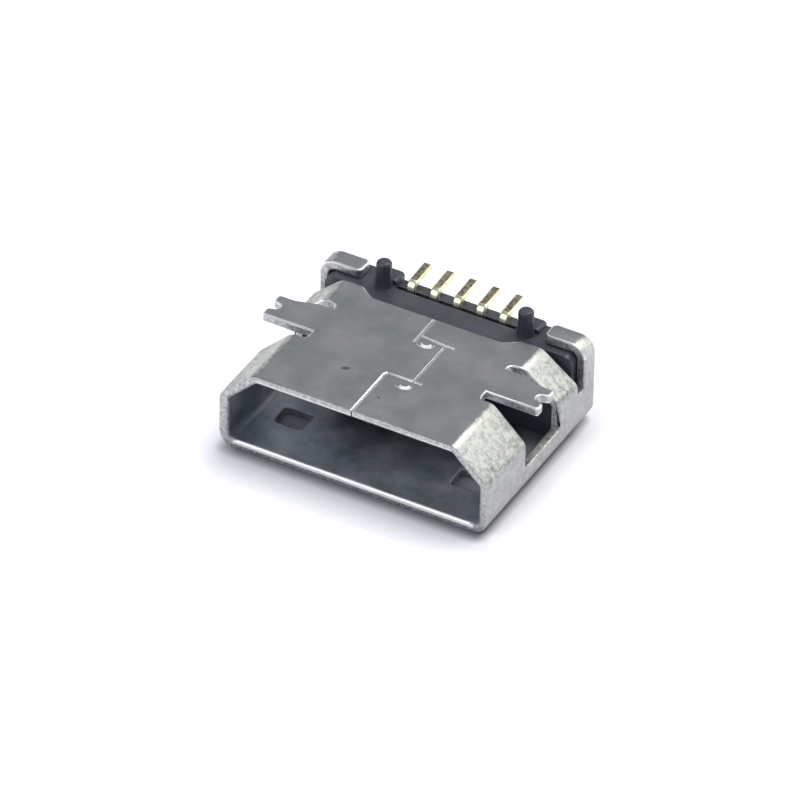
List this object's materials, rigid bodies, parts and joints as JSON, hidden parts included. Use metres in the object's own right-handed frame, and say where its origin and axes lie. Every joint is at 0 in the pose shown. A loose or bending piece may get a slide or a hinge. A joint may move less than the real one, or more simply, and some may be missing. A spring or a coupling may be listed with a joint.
{
  "type": "micro usb socket",
  "caption": "Surface-mount micro-B socket: folded steel shell with forked soldering ears and rear feet, black moulded insert with locating pegs, and a row of stamped contacts with tails over the board.",
  "frame": {"origin": "middle of the part's footprint, on the plane of the shell's wide face", "axes": "+X across the mouth, +Y from the mouth to the contact tails, +Z from the wide face towards the board side with the ears, feet and pegs"},
  "size_m": [0.0078, 0.0062, 0.0029],
  "materials": {
    "shell_steel": "satin nickel-plated steel sheet",
    "black_moulding": "matt moulded plastic",
    "contact_metal": "gold-flashed copper alloy"
  },
  "bodies": {
    "root": {"shell": "shell_steel", "housing": "black_moulding", "contact_power": "contact_metal", "contact_data_minus": "contact_metal", "contact_data_plus": "contact_metal", "contact_id": "contact_metal", "contact_ground": "contact_metal"}
  },
  "joints": []
}
